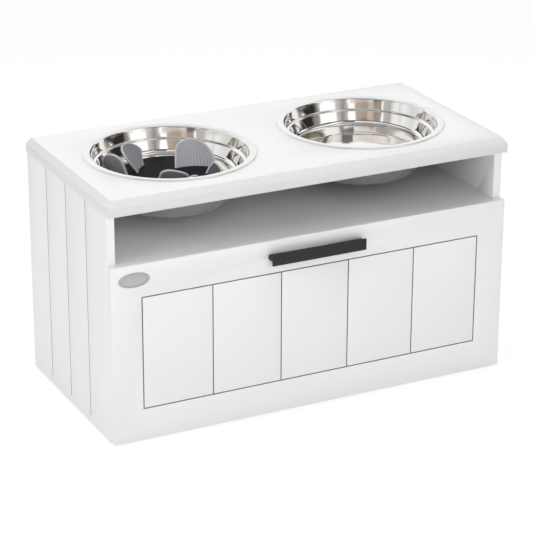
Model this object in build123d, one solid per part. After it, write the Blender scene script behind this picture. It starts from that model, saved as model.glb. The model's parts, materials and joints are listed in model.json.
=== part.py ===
from build123d import *
import os
from math import atan2, cos, degrees, radians, sin, sqrt

os.makedirs("parts", exist_ok=True)

# Elevated dog feeder: a bevelled board with two drop-in bowls on a cabinet with an open niche and,
# below it, one wide drawer on roller runners. X runs left to right, Y front to back, Z up.
# The origin is on the floor, midway between the sides and between the handle's face and the back.
# All sizes in millimetres.

# ---- Cabinet ----
board_width = 600.0
board_depth = 295.0
feeder_height = 347.0
board_thickness = 22.0
bevel_run = 6.0
bevel_drop = 9.5
board_overhang = 1.0  # past the side panels and the back panel
panel_thickness = 12.0
niche_drop = 91.6  # from the board's face down to the shelf
shelf_height = feeder_height - niche_drop  # upper face of the shelf and upper edge of the drawer front
bottom_lift = 10.0  # bottom board above the floor
groove_width = 1.6
groove_depth = 1.2
side_groove_count = 3
side_groove_stop = 12.0  # from the panel's lower edge

# ---- Bowls ----
rim_radius = 118.5
end_margin = 34.0  # from a rim to the board's end
bowl_spacing = board_width - 2 * (end_margin + rim_radius)  # between the two bowl axes
mouth_radius = rim_radius - 10.0  # inner edge of the flat rim
rim_rise = 2.1
rim_fall = 1.1  # the rim slopes down towards the mouth by this much
steel_thickness = 0.8
bowl_depth = 33.5  # from the board's face to the bowl's floor inside
outer_depth = 66.0  # from the board's face to the underside
step_depth = 15.0  # the step below the mouth
neck_radius = mouth_radius - 0.4  # below the mouth, where the bowl passes the cut-out
step_radius = neck_radius - 3.5
step_width = 3.2
step_rise = 1.2
rim_edge_draft = 0.2
mouth_roll = 0.6  # radius of the mouth's edge and of the rim's edge
floor_radius = step_radius - 10.1
floor_ring_radius = floor_radius - 34.5
floor_ring_rise = 0.8
floor_ring_width = 10.0
floor_corner = 8.0
foot_radius = step_radius - 26.6
foot_width = 9.0
foot_rise = 1.2  # the underside inside the foot, above it
outer_corner = 4.0  # where the foot meets the wall and the wall meets the neck
outer_neck_draft = 2.0
pressing_gap = 0.3  # between the two pressings at the neck
cutout_clearance = 0.9  # between the bowl's neck and the cut-out in the board
seat_gap = 0.2  # between the rim's edge and the board

# ---- Slow feeder ----
insert_base_radius = floor_radius - 22.5
insert_base_thickness = 2.6
insert_gap = 0.3  # above the bowl's floor
insert_wall_gap = 2.0  # beside the bowl's wall
petal_thickness = 3.2
petal_cup_radius = 60.0  # each petal is a piece of a tube of this inner radius
petal_table_radius = 72.0  # the base radius that the table below is drawn for
# Each petal stands on the base at x, y from the bowl's axis. Its hollow face looks along a bearing, it
# leans back from upright and slants sideways (all degrees). Then come its height and, for its left and
# right half, the width at the root, the greatest width and the height of that above the root.
petals = [
    (38.5, 12.5, -107.0, 37.0, -1.0, 41.0, (24.0, 22.5, 20.5), (30.5, 32.0, 1.0)),
    (-28.0, 37.0, -42.0, 36.0, 5.0, 40.0, (21.0, 25.5, 18.0), (14.0, 27.0, 15.0)),
    (-66.0, 23.0, 34.0, 12.0, -17.5, 33.5, (15.5, 16.5, 16.5), (7.5, 20.0, 13.5)),
    (46.5, -27.0, -131.0, 19.5, -17.5, 17.5, (5.5, 5.5, 1.0), (18.0, 18.5, 2.5)),
    (-10.0, -29.0, 62.0, 14.0, 9.0, 18.0, (17.0, 22.0, 8.0), (19.0, 18.0, 5.5)),
    (9.0, -49.5, 105.0, 12.0, 0.0, 12.5, (11.5, 13.0, 3.5), (11.5, 13.0, 3.5)),
]

# ---- Drawer ----
drawer_front_thickness = 12.0
closed_gap = 0.5  # between the drawer front and the cabinet's front edges
front_floor_gap = 2.0
frame_side_margin = 44.5  # from the board's end to the routed frame
frame_bottom = 48.0
frame_top = shelf_height - 47.2
frame_panels = 5
drawer_head_room = 34.9  # above the drawer's sides, up to the shelf
drawer_back_gap = 14.0  # behind the drawer, up to the back panel
bottom_sheet_thickness = 4.0
bottom_sheet_rise = 8.0  # above the lower edge of the drawer sides
bottom_sheet_tongue = 5.0  # how far the sheet sits in its grooves
bottom_sheet_play = 0.1
drawer_joint_inset = 45.0  # from the sides' upper and lower edges to their cams and screws

# ---- Handle: a T-section bar ----
handle_length = 142.0
handle_height = 16.0
handle_top_drop = 15.4  # below the drawer front's upper edge
handle_projection = 14.0
handle_plate_thickness = 2.6
handle_leg_thickness = 6.2
handle_leg_drop = 4.0  # below the plate's upper edge
handle_fillet = 1.6
handle_screw_spacing = 128.0
handle_screw_bite = 8.0

# ---- Roller runners ----
runner_gap = 12.5  # between the cabinet side and the drawer side
runner_sheet = 1.2
runner_shortfall = 6.0  # a runner is this much shorter than the drawer
runner_overlap = 50.0  # of the two runners when the drawer is fully out
runner_setback = 2.0  # behind the side panel's front edge
runner_lift = 10.0  # above the bottom board
channel_height = 18.8  # clear height inside the channel
channel_gap = 1.1  # between the channel's lip and the drawer runner
channel_lip = 2.4
runner_bend = 0.9  # bend radius on the sheet's middle line
ledge_gap = 0.5  # between the drawer runner's ledge and the channel's upper flange
ledge_tip = 3.0  # from the cabinet side to the ledge's edge
drawer_edge_rise = 1.5  # lower edge of the drawer side, above the channel's underside
cradle_width = 11.0  # flange under the drawer side
roller_play = 0.2
roller_inner = 3.2  # from the cabinet side to a roller
roller_side_play = 0.2  # between a roller and the channel's lip
roller_rim = 2.2  # thickness of a roller's tread
roller_recess = 1.4  # between hub and tread, on both faces
fixed_roller_floor_gap = 1.1  # between the cabinet's roller and the channel under it
moving_roller_head_gap = 1.4  # between the drawer's roller and the flange above it
roller_setback = 12.0  # axle from the runner's end
pin_radius = 2.0
pin_running_clearance = 0.05
pin_shoulder_radius = 3.2
pin_head_radius = 3.3
pin_head_thickness = 0.6
roller_end_play = 0.1
runner_end_clearance = 1.5  # from a roller to the end of the flange beside it
stop_tab_height = 3.0
stop_tab_thickness = 1.2

# ---- Fasteners ----
cam_radius = 6.0
cam_cover = 2.0  # wood left behind a cam
cam_slot_width = 1.6
cam_slot_length = 8.4
cam_slot_depth = 1.2
cam_reach = 24.0  # from the joint face to the cam's axis
cam_inset = 45.0  # from the ends of a joint to its cams
bolt_radius = 2.8
bolt_thread_length = 9.0
bolt_end = 1.5  # past the cam's axis
bore_clearance = 0.1
runner_hole_inset = 49.0  # from a runner's end to its first screw hole
bracket_leg = 18.0
bracket_width = 16.0
bracket_sheet = 1.5
bracket_hole_offset = 11.0
screw_hole_radius = 1.8
bracket_front_inset = 72.0
bracket_back_inset = 45.0
handle_screw_radius = 2.0
handle_screw_head_radius = 3.8
handle_screw_head = 2.2

# ---- Planes and lines that follow from the sizes ----
front = -(board_depth - handle_projection) / 2
back = front + board_depth
carcass_front = front + drawer_front_thickness + closed_gap
carcass_back = back - board_overhang
back_inner = carcass_back - panel_thickness
side_outer = board_width / 2 - board_overhang
side_inner = side_outer - panel_thickness
board_under = feeder_height - board_thickness
shelf_under = shelf_height - panel_thickness
bottom_top = bottom_lift + panel_thickness
bowl_y = front + board_depth / 2
runner_z = bottom_top + runner_lift
runner_front = carcass_front + runner_setback
drawer_outer = side_inner - runner_gap
drawer_inner = drawer_outer - panel_thickness
drawer_start = front + drawer_front_thickness
drawer_back = back_inner - drawer_back_gap
drawer_low = runner_z + drawer_edge_rise
drawer_top = shelf_under - drawer_head_room
runner_length = drawer_back - drawer_start - runner_shortfall
drawer_travel = runner_length - runner_overlap
sheet_low = drawer_low + bottom_sheet_rise
handle_top = shelf_height - handle_top_drop
handle_axis_z = handle_top - handle_leg_drop - handle_leg_thickness / 2
channel_depth = runner_gap - runner_sheet - channel_gap
ledge_height = channel_height - ledge_gap  # its underside, above the channel's underside
roller_outer = channel_depth - runner_sheet - roller_side_play
roller_width = roller_outer - roller_inner
fixed_roller_radius = (ledge_height - roller_play - runner_sheet - fixed_roller_floor_gap) / 2
moving_roller_radius = (channel_height - roller_play - moving_roller_head_gap) / 2
cam_depth = panel_thickness - cam_cover
fixed_axle_y = runner_front + roller_setback
fixed_axle_z = runner_z + ledge_height - roller_play - fixed_roller_radius
moving_axle_y = carcass_front + runner_length - roller_setback
moving_axle_z = runner_z + runner_sheet + roller_play + moving_roller_radius


def block(low, high):
    """A box from its lowest to its highest corner."""
    size = [b - a for a, b in zip(low, high)]
    middle = [(a + b) / 2 for a, b in zip(low, high)]
    return Pos(*middle) * Box(*size)


def mirrored(shape):
    """The same shape on the other side of the middle plane."""
    return mirror(shape, about=Plane.YZ)


def both_sides(shapes):
    return list(shapes) + [mirrored(s) for s in shapes]


def turned(profile, point, direction):
    """A solid of revolution. The profile lists (distance along, radius) from the tip, on an axis
    that starts at point and runs along direction."""
    tip, end = profile[0][0], profile[-1][0]
    outline = Polyline([(0, tip)] + [(r, a) for a, r in profile] + [(0, end)], close=True)
    solid = revolve(make_face(Plane.XZ * outline), Axis.Z)
    return Plane(origin=point, z_dir=direction) * solid


def rod(point, direction, length, radius):
    return turned([(0, radius), (length, radius)], point, direction)


def sheet_strip(points, y_start, length, bend=runner_bend):
    """Bent sheet steel of even thickness: a middle line in X and Z, carried along Y."""
    line = FilletPolyline(*[(x, z) for x, z in points], radius=bend)
    section = trace(line, runner_sheet)
    return extrude(Plane(origin=(0, y_start, 0), x_dir=(1, 0, 0), z_dir=(0, -1, 0)) * section, -length)


# ---- Fasteners ----
def cam_bolt(point, direction, clearance=0.0):
    """A bolt screwed into a panel at point, whose head end reaches along direction into a cam.
    With a clearance, the hole for it."""
    start = Vector(*point) - Vector(*direction) * (bolt_thread_length + clearance)
    length = bolt_thread_length + cam_reach + bolt_end + clearance
    return rod(start, direction, length, bolt_radius + clearance)


def cam_bolt_bore(point, direction):
    return cam_bolt(point, direction, bore_clearance)


def cam_lock(face_point, inward, bolt_direction):
    """A slotted drum let into a board at face_point, with the pocket that holds the bolt's head."""
    drum = rod(face_point, inward, cam_depth, cam_radius)
    centre = Vector(*face_point) + Vector(*inward) * (panel_thickness / 2)
    mouth = centre - Vector(*bolt_direction) * 2 * cam_radius
    pocket_length = 2 * cam_radius + bolt_end + bore_clearance
    pocket = rod(mouth, bolt_direction, pocket_length, bolt_radius + bore_clearance)
    slot = Plane(origin=face_point, z_dir=inward) * Box(cam_slot_width, cam_slot_length, 2 * cam_slot_depth)
    return drum - pocket - slot


def cam_bore(face_point, inward):
    return rod(face_point, inward, cam_depth + bore_clearance, cam_radius + bore_clearance)


def cabinet_board_joints():
    """Where shelf and bottom board meet the left side panel: (y, z of the middle, z of the underside)."""
    ys = (carcass_front + cam_inset, back_inner - cam_inset)
    return [(y, under + panel_thickness / 2, under) for under in (shelf_under, bottom_lift) for y in ys]


def left_cabinet_bolts(make):
    return [make((-side_inner, y, z), (1, 0, 0)) for y, z, _ in cabinet_board_joints()]


def left_cabinet_cams():
    x, upwards, from_left = -side_inner + cam_reach, (0, 0, 1), (1, 0, 0)
    return [cam_lock((x, y, under), upwards, from_left) for y, _, under in cabinet_board_joints()]


def left_cabinet_cam_bores():
    x, upwards = -side_inner + cam_reach, (0, 0, 1)
    return [cam_bore((x, y, under), upwards) for y, _, under in cabinet_board_joints()]


def left_brackets():
    """Punched angles that hold the top board down on the left side panel."""
    x, top = -side_inner, board_under
    made = []
    for y in (carcass_front + bracket_front_inset, back_inner - bracket_back_inset):
        low_y, high_y = y - bracket_width / 2, y + bracket_width / 2
        inside = (x + bracket_leg, high_y, top - bracket_sheet)
        angle = block((x, low_y, top - bracket_leg), (x + bracket_leg, high_y, top))
        angle -= block((x + bracket_sheet, low_y, top - bracket_leg), inside)
        angle -= rod((x, y, top - bracket_hole_offset), (1, 0, 0), bracket_sheet, screw_hole_radius)
        angle -= rod((x + bracket_hole_offset, y, top), (0, 0, -1), bracket_sheet, screw_hole_radius)
        made.append(angle)
    return made


# ---- Cabinet ----
def bowl_centres():
    return [(-bowl_spacing / 2, bowl_y), (bowl_spacing / 2, bowl_y)]


def top_board():
    """The board with a bevel all round and the two cut-outs for the bowls."""
    straight = board_thickness - bevel_drop
    lower = Pos(0, bowl_y, board_under + straight / 2) * Box(board_width, board_depth, straight)
    lip = Pos(0, bowl_y, board_under + straight) * Rectangle(board_width, board_depth)
    board = lower + extrude(lip, bevel_drop, taper=degrees(atan2(bevel_run, bevel_drop)))
    cut_radius = neck_radius + 2 * steel_thickness + pressing_gap + cutout_clearance
    for x, y in bowl_centres():
        board -= rod((x, y, board_under), (0, 0, 1), board_thickness, cut_radius)
    return board


def left_side_panel():
    panel = block((-side_outer, carcass_front, 0), (-side_inner, carcass_back, board_under))
    pitch = (carcass_back - carcass_front) / (side_groove_count + 1)
    for i in range(side_groove_count):
        y = carcass_front + pitch * (i + 1)
        low = (-side_outer, y - groove_width / 2, side_groove_stop)
        panel -= block(low, (-side_outer + groove_depth, y + groove_width / 2, board_under))
    for hole in left_cabinet_bolts(cam_bolt_bore):
        panel -= hole
    return panel


def between_sides(z_low, y_low, y_high, thickness):
    return block((-side_inner, y_low, z_low), (side_inner, y_high, z_low + thickness))


def level_board(z_low):
    """Shelf or bottom board with the holes of its joints."""
    board = between_sides(z_low, carcass_front, back_inner, panel_thickness)
    for hole in both_sides(left_cabinet_bolts(cam_bolt_bore) + left_cabinet_cam_bores()):
        board -= hole
    return board


def back_panel():
    return between_sides(bottom_lift, back_inner, carcass_back, board_under - bottom_lift)


# ---- Runners ----
def screw_holes(x, start):
    """The punched holes along a runner's upright web, whose far face is at x."""
    z = runner_z + runner_sheet + channel_height / 2
    ys = (start + runner_hole_inset, start + runner_length / 2, start + runner_length - runner_hole_inset)
    return [rod((x, y, z), (1, 0, 0), runner_sheet, screw_hole_radius) for y in ys]


def left_cabinet_runner():
    """A channel open towards the drawer, with a lip that keeps the drawer's roller on its track."""
    half = runner_sheet / 2
    x, top = -side_inner, runner_z + 2 * runner_sheet + channel_height
    line = [
        (x + channel_depth - half, runner_z + runner_sheet + channel_lip),
        (x + channel_depth - half, runner_z + half),
        (x + half, runner_z + half),
        (x + half, top - half),
        (x + channel_depth - runner_sheet, top - half),
    ]
    runner = sheet_strip(line, runner_front, runner_length)
    # The upper flange stops short at the front, where the drawer's rollers are lifted in.
    entry_end = fixed_axle_y + fixed_roller_radius + runner_end_clearance
    low = (x + runner_sheet, runner_front, top - 2 * runner_sheet)
    runner -= block(low, (x + runner_gap, entry_end, top))
    runner += stop_tab()
    pin_hole = rod((x, fixed_axle_y, fixed_axle_z), (1, 0, 0), runner_sheet, pin_radius)
    for hole in [pin_hole] + screw_holes(x, runner_front):
        runner -= hole
    return runner


def stop_tab():
    """The tab that the drawer's roller meets when the drawer is fully out."""
    rise = stop_tab_height - roller_play
    reach = sqrt(moving_roller_radius**2 - (moving_roller_radius - rise) ** 2)
    face = moving_axle_y - drawer_travel - reach - closed_gap
    x, z = -side_inner, runner_z + runner_sheet
    low = (x + roller_inner, face - stop_tab_thickness, z)
    return block(low, (x + roller_outer, face, z + stop_tab_height))


def left_drawer_runner():
    """A step-shaped strip: a cradle under the drawer side, a web, and the ledge that the rollers carry."""
    half = runner_sheet / 2
    x = -drawer_outer
    line = [
        (x + cradle_width, drawer_low - half),
        (x - half, drawer_low - half),
        (x - half, runner_z + ledge_height + half),
        (-side_inner + ledge_tip, runner_z + ledge_height + half),
    ]
    runner = sheet_strip(line, carcass_front, runner_length)
    # The ledge ends before the drawer's own roller.
    cut_start = moving_axle_y - moving_roller_radius - runner_end_clearance
    ledge_z = runner_z + ledge_height
    low = (-side_inner, cut_start, ledge_z - half)
    runner -= block(low, (x - runner_sheet, carcass_front + runner_length, ledge_z + 2 * runner_sheet))
    pin_hole = rod((x - runner_sheet, moving_axle_y, moving_axle_z), (1, 0, 0), runner_sheet, pin_radius)
    for hole in [pin_hole] + screw_holes(x - runner_sheet, carcass_front):
        runner -= hole
    return runner


def roller_pin(point, direction, shoulder):
    """A pin riveted through the sheet: a shoulder, the journal that the roller turns on, a head."""
    journal_end = runner_sheet + shoulder + roller_width + 2 * roller_end_play
    return turned(
        [
            (0, pin_radius),
            (runner_sheet, pin_radius),
            (runner_sheet, pin_shoulder_radius),
            (runner_sheet + shoulder, pin_shoulder_radius),
            (runner_sheet + shoulder, pin_radius),
            (journal_end, pin_radius),
            (journal_end, pin_head_radius),
            (journal_end + pin_head_thickness, pin_head_radius),
        ],
        point,
        direction,
    )


def left_fixed_pin():
    shoulder = roller_inner - runner_sheet - roller_end_play
    return roller_pin((-side_inner, fixed_axle_y, fixed_axle_z), (1, 0, 0), shoulder)


def left_moving_pin():
    shoulder = runner_gap - runner_sheet - roller_outer - roller_end_play
    return roller_pin((-drawer_outer, moving_axle_y, moving_axle_z), (-1, 0, 0), shoulder)


def left_roller(radius, axle_y, axle_z):
    """A nylon wheel: a hub, a thin web and a tread, hollowed on both faces."""
    axle, start = (1, 0, 0), -side_inner + roller_inner
    wheel = rod((start, axle_y, axle_z), axle, roller_width, radius)
    for face in (start, start + roller_width - roller_recess):
        point = (face, axle_y, axle_z)
        hollow = rod(point, axle, roller_recess, radius - roller_rim)
        wheel -= hollow - rod(point, axle, roller_recess, pin_head_radius)
    return wheel - rod((start, axle_y, axle_z), axle, roller_width, pin_radius + pin_running_clearance)


# ---- Drawer ----
def drawer_joint_zs():
    return (drawer_low + drawer_joint_inset, drawer_top - drawer_joint_inset)


def left_drawer_bolts(make):
    x = -(drawer_inner + panel_thickness / 2)
    return [make((x, drawer_start, z), (0, 1, 0)) for z in drawer_joint_zs()]


def left_drawer_cams():
    y, outwards, from_front = drawer_start + cam_reach, (-1, 0, 0), (0, 1, 0)
    return [cam_lock((-drawer_inner, y, z), outwards, from_front) for z in drawer_joint_zs()]


def left_drawer_cam_bores():
    return [cam_bore((-drawer_inner, drawer_start + cam_reach, z), (-1, 0, 0)) for z in drawer_joint_zs()]


def handle_screws(clearance=0.0):
    """Two screws from inside the drawer. With a clearance, the holes for them."""
    radius, head = handle_screw_radius + clearance, handle_screw_head_radius + clearance
    length = drawer_front_thickness + handle_screw_bite + clearance
    profile = [(-handle_screw_head, head), (0, head), (0, radius), (length, radius)]
    offset = handle_screw_spacing / 2
    return [turned(profile, (x, drawer_start, handle_axis_z), (0, -1, 0)) for x in (-offset, offset)]


def bottom_sheet(play=0.0):
    """The thin bottom of the drawer. With a play, the space that its grooves leave for it."""
    tongue = bottom_sheet_tongue + play
    low = (-drawer_inner - tongue, drawer_start - tongue, sheet_low - play)
    high_y = drawer_back - panel_thickness + tongue
    return block(low, (drawer_inner + tongue, high_y, sheet_low + bottom_sheet_thickness + play))


def drawer_front():
    """The full-width front: a routed frame crossed by upright grooves into equal panels."""
    panel = block((-side_outer, front, front_floor_gap), (side_outer, drawer_start, shelf_height))
    left, right = frame_side_margin - board_width / 2, board_width / 2 - frame_side_margin
    half = groove_width / 2
    for i in range(frame_panels + 1):
        x = left + (right - left) * i / frame_panels
        low = (x - half, front, frame_bottom - half)
        panel -= block(low, (x + half, front + groove_depth, frame_top + half))
    for z in (frame_bottom, frame_top):
        panel -= block((left, front, z - half), (right, front + groove_depth, z + half))
    panel -= bottom_sheet(bottom_sheet_play)
    for hole in both_sides(left_drawer_bolts(cam_bolt_bore)) + handle_screws(bore_clearance):
        panel -= hole
    return panel


def left_drawer_side():
    side = block((-drawer_outer, drawer_start, drawer_low), (-drawer_inner, drawer_back, drawer_top))
    lower_edges = side.edges().filter_by(Axis.Y).group_by(Axis.Z)[0]
    side = chamfer(lower_edges.sort_by(Axis.X)[0], runner_bend / 2)  # clears the runner's inner bend
    side -= bottom_sheet(bottom_sheet_play)
    for hole in left_drawer_bolts(cam_bolt_bore) + left_drawer_cam_bores():
        side -= hole
    return side


def drawer_back_panel():
    y_low = drawer_back - panel_thickness
    panel = block((-drawer_inner, y_low, drawer_low), (drawer_inner, drawer_back, drawer_top))
    return panel - bottom_sheet(bottom_sheet_play)


def handle():
    """A T section: a flat grip plate on a leg that is screwed to the drawer front from behind."""
    face, grip_back = front - handle_projection, front - handle_projection + handle_plate_thickness
    low, leg_top = handle_top - handle_height, handle_top - handle_leg_drop
    leg_low = leg_top - handle_leg_thickness
    outline = Polyline(
        (face, low),
        (face, handle_top),
        (grip_back, handle_top),
        (grip_back, leg_top),
        (front, leg_top),
        (front, leg_low),
        (grip_back, leg_low),
        (grip_back, low),
        close=True,
    )
    section = make_face(outline)
    roots = section.vertices().group_by(lambda v: round(v.X - grip_back, 3) == 0)[-1].sort_by(Axis.Y)[1:3]
    section = fillet(roots, handle_fillet)
    across = Plane(origin=(-handle_length / 2, 0, 0), x_dir=(0, 1, 0), z_dir=(1, 0, 0))
    bar = extrude(across * section, handle_length)
    for hole in handle_screws(bore_clearance):
        bar -= hole
    return bar


# ---- Bowls ----
def shell_of_revolution(line, centre):
    """Thin pressed steel: an inside line in radius and height, thickened outwards and revolved."""
    wall = offset(line, amount=steel_thickness, side=Side.RIGHT)
    x, y = centre
    return Pos(x, y, feeder_height) * revolve(make_face(Plane.XZ * wall), Axis.Z)


def bowl_inner(centre):
    """The eating bowl: ringed floor, round corner, sloping wall, step, neck, flat rim, turned-down edge."""
    ring, floor = floor_ring_radius, -bowl_depth
    mouth = rim_rise - rim_fall
    neck_top = mouth - 2 * mouth_roll
    line = FilletPolyline(
        (0, floor + floor_ring_rise),
        (ring - floor_ring_width, floor + floor_ring_rise),
        (ring, floor),
        (floor_radius, floor),
        (step_radius - step_width, -step_depth),
        (step_radius, -step_depth + step_rise),
        (neck_radius, neck_top),
        (mouth_radius, mouth),
        (rim_radius - rim_edge_draft, rim_rise),
        (rim_radius, seat_gap),
        radius=[0, 0, floor_corner, 0, 0, 0, 0, 0],
    )
    return shell_of_revolution(line, centre)


def bowl_outer(centre):
    """The outer pressing: it meets the inner one under the mouth and stands clear of it below."""
    floor = -outer_depth + steel_thickness
    neck = neck_radius + steel_thickness + pressing_gap
    line = FilletPolyline(
        (0, floor + foot_rise),
        (foot_radius - foot_width - foot_rise, floor + foot_rise),
        (foot_radius - foot_width, floor),
        (foot_radius, floor),
        (neck - outer_neck_draft, -board_thickness),
        (neck, -step_depth),
        (neck, -2 * steel_thickness),
        radius=[0, 0, outer_corner, outer_corner, 0],
    )
    return shell_of_revolution(line, centre)


# ---- Slow feeder ----
def petal(x, y, facing, lean, slant, height, left, right):
    """A rounded tongue cut from a tube, so that it is hollow towards the middle of the bowl."""
    (left_root, left_width, left_belly), (right_root, right_width, right_belly) = left, right
    root = -2 * insert_base_thickness
    outline = (
        Polyline((-left_width, left_belly), (-left_root, 0), (-left_root, root), (right_root, root))
        + Polyline((right_root, root), (right_root, 0), (right_width, right_belly))
        + EllipticalCenterArc((0, right_belly), right_width, height - right_belly, 0, arc_size=90)
        + EllipticalCenterArc((0, left_belly), left_width, height - left_belly, 90, arc_size=90)
    )
    reach = petal_cup_radius + petal_thickness
    tube = Plane.XZ * (Circle(reach) - Circle(petal_cup_radius))
    tube = Pos(0, 0, petal_cup_radius) * extrude(tube, reach, both=True)
    tongue = tube & extrude(make_face(outline), petal_cup_radius, both=True)
    along = Vector(-sin(radians(facing)), cos(radians(facing)), 0)
    level = Vector(cos(radians(facing)), sin(radians(facing)), 0)
    stand = Plane(origin=(x, y, insert_base_thickness), x_dir=along, z_dir=level)
    return stand * (Rot(-lean, 0, 0) * Rot(0, 0, slant) * tongue)


def slow_feeder():
    """A soft moulding: a round base with petals that the dog has to eat around."""
    x, y = bowl_centres()[0]
    low = floor_ring_rise + insert_gap
    moulding = rod((0, 0, 0), (0, 0, 1), insert_base_thickness, insert_base_radius)
    shrink = insert_base_radius / petal_table_radius
    for x_table, y_table, *shape in petals:
        moulding += petal(x_table * shrink, y_table * shrink, *shape)
    wall_top = step_radius - step_width - insert_wall_gap
    foot = floor_radius - floor_corner
    profile = [(0, foot), (bowl_depth - step_depth - low, wall_top), (bowl_depth, wall_top)]
    space = turned(profile, (0, 0, 0), (0, 0, 1))
    return Pos(x, y, feeder_height - bowl_depth + low) * (moulding & space)


left_centre, right_centre = bowl_centres()
fixed_roller = left_roller(fixed_roller_radius, fixed_axle_y, fixed_axle_z)
moving_roller = left_roller(moving_roller_radius, moving_axle_y, moving_axle_z)

nodes = {
    "top_board": top_board(),
    "left_side_panel": left_side_panel(),
    "right_side_panel": mirrored(left_side_panel()),
    "back_panel": back_panel(),
    "shelf_board": level_board(shelf_under),
    "bottom_board": level_board(bottom_lift),
    "cabinet_cam_locks": both_sides(left_cabinet_cams()),
    "cabinet_cam_bolts": both_sides(left_cabinet_bolts(cam_bolt)),
    "top_brackets": both_sides(left_brackets()),
    "left_cabinet_runner": left_cabinet_runner(),
    "right_cabinet_runner": mirrored(left_cabinet_runner()),
    "cabinet_roller_pins": both_sides([left_fixed_pin()]),
    "left_cabinet_roller": fixed_roller,
    "right_cabinet_roller": mirrored(fixed_roller),
    "drawer_front": drawer_front(),
    "drawer_left_side": left_drawer_side(),
    "drawer_right_side": mirrored(left_drawer_side()),
    "drawer_back": drawer_back_panel(),
    "drawer_bottom": bottom_sheet(),
    "drawer_cam_locks": both_sides(left_drawer_cams()),
    "drawer_cam_bolts": both_sides(left_drawer_bolts(cam_bolt)),
    "left_drawer_runner": left_drawer_runner(),
    "right_drawer_runner": mirrored(left_drawer_runner()),
    "drawer_roller_pins": both_sides([left_moving_pin()]),
    "left_drawer_roller": moving_roller,
    "right_drawer_roller": mirrored(moving_roller),
    "handle": handle(),
    "handle_screws": handle_screws(),
    "left_bowl": bowl_inner(left_centre),
    "left_bowl_shell": bowl_outer(left_centre),
    "right_bowl": bowl_inner(right_centre),
    "right_bowl_shell": bowl_outer(right_centre),
    "slow_feeder": slow_feeder(),
}

for name, shape in nodes.items():
    solids = shape if isinstance(shape, list) else [shape]
    export_step(Compound(children=[s.solid() for s in solids]), f"parts/{name}.step")
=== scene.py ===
import json
from math import cos, pi, radians, sin, tan

import bmesh
import bpy
import numpy as np
from mathutils import Euler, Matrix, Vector

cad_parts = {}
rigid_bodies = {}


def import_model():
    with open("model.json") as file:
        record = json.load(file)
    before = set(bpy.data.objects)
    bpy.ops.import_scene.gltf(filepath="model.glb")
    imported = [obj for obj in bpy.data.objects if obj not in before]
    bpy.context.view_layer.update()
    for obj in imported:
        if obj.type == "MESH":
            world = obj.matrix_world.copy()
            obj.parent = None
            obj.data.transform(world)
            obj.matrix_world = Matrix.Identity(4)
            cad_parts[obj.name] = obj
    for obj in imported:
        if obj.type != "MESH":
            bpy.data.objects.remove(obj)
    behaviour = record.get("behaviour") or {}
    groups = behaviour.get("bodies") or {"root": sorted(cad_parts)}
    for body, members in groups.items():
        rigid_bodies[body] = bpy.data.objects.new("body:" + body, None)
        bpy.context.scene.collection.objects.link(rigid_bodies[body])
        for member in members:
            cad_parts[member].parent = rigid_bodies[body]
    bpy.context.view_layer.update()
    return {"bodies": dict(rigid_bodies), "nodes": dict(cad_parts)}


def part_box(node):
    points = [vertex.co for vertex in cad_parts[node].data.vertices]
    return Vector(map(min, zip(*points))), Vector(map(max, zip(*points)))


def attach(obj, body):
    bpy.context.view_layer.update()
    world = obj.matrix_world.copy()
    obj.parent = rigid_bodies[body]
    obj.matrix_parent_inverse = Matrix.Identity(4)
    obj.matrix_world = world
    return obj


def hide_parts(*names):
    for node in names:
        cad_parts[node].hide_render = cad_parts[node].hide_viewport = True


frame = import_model()

# Elevated dog feeder: painted boards, two polished steel bowls, a grey slow-feeder insert, a wide
# drawer on roller runners with a dark T-section handle. Metres, Z up, as the frame has them.
mm = 0.001


# ---- Places taken from the frame ----
def box_corners(box):
    """A box's lower and upper corner."""
    return tuple(Vector(corner) for corner in box)


board_low, board_high = box_corners(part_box("top_board"))
front_low, front_high = box_corners(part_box("drawer_front"))
side_low, side_high = box_corners(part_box("left_side_panel"))
board_top = board_high.z
panel_thickness = side_high.x - side_low.x

# ---- Sizes of what the pieces show ----
edge_round = 0.5 * mm  # painted board edges
handle_round = 0.4 * mm
fine_round = 0.3 * mm  # sheet metal and small parts
groove_reach = 1.25 * mm  # the scored grooves are this deep at most
groove_margin = 10 * mm  # no groove is this close to a board's end
skin = 0.1 * mm  # a face nearer than this to a board's surface belongs to that surface


# ---- Node materials ----
def finish(name, colour, roughness, metallic=0.0, **sockets):
    """A material with its constants set on the Principled shader's own sockets."""
    made = bpy.data.materials.new(name)
    made.use_nodes = True
    shader = made.node_tree.nodes["Principled BSDF"]
    shader.inputs["Base Color"].default_value = (*colour, 1.0)
    shader.inputs["Roughness"].default_value = roughness
    shader.inputs["Metallic"].default_value = metallic
    for socket, value in sockets.items():
        shader.inputs[socket.replace("_", " ")].default_value = value
    return made


def shader_of(made):
    """The material's Principled shader."""
    return made.node_tree.nodes["Principled BSDF"]


def add(made, kind, settings=None, **inputs):
    """Adds a shader node. Settings are its properties; inputs are values or sockets to link from."""
    node = made.node_tree.nodes.new(kind)
    for key, value in (settings or {}).items():
        setattr(node, key, value)
    for key, value in inputs.items():
        # "i6" is the input with that number; any other key is the input's name.
        socket = node.inputs[int(key[1:]) if key[1:].isdigit() else key.replace("_", " ")]
        if isinstance(value, bpy.types.NodeSocket):
            made.node_tree.links.new(value, socket)
        else:
            socket.default_value = value
    return node


def link(made, source, target):
    """Joins an output to an input."""
    made.node_tree.links.new(source, target)


def maths(made, operation, *values):
    """One step of arithmetic on numbers."""
    numbered = {f"i{number}": value for number, value in enumerate(values)}
    return add(made, "ShaderNodeMath", {"operation": operation}, **numbered).outputs[0]


def vector_maths(made, operation, first, second, output="Vector"):
    """One step of arithmetic on vectors."""
    node = add(made, "ShaderNodeVectorMath", {"operation": operation}, i0=first, i1=second)
    return node.outputs[output]


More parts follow.
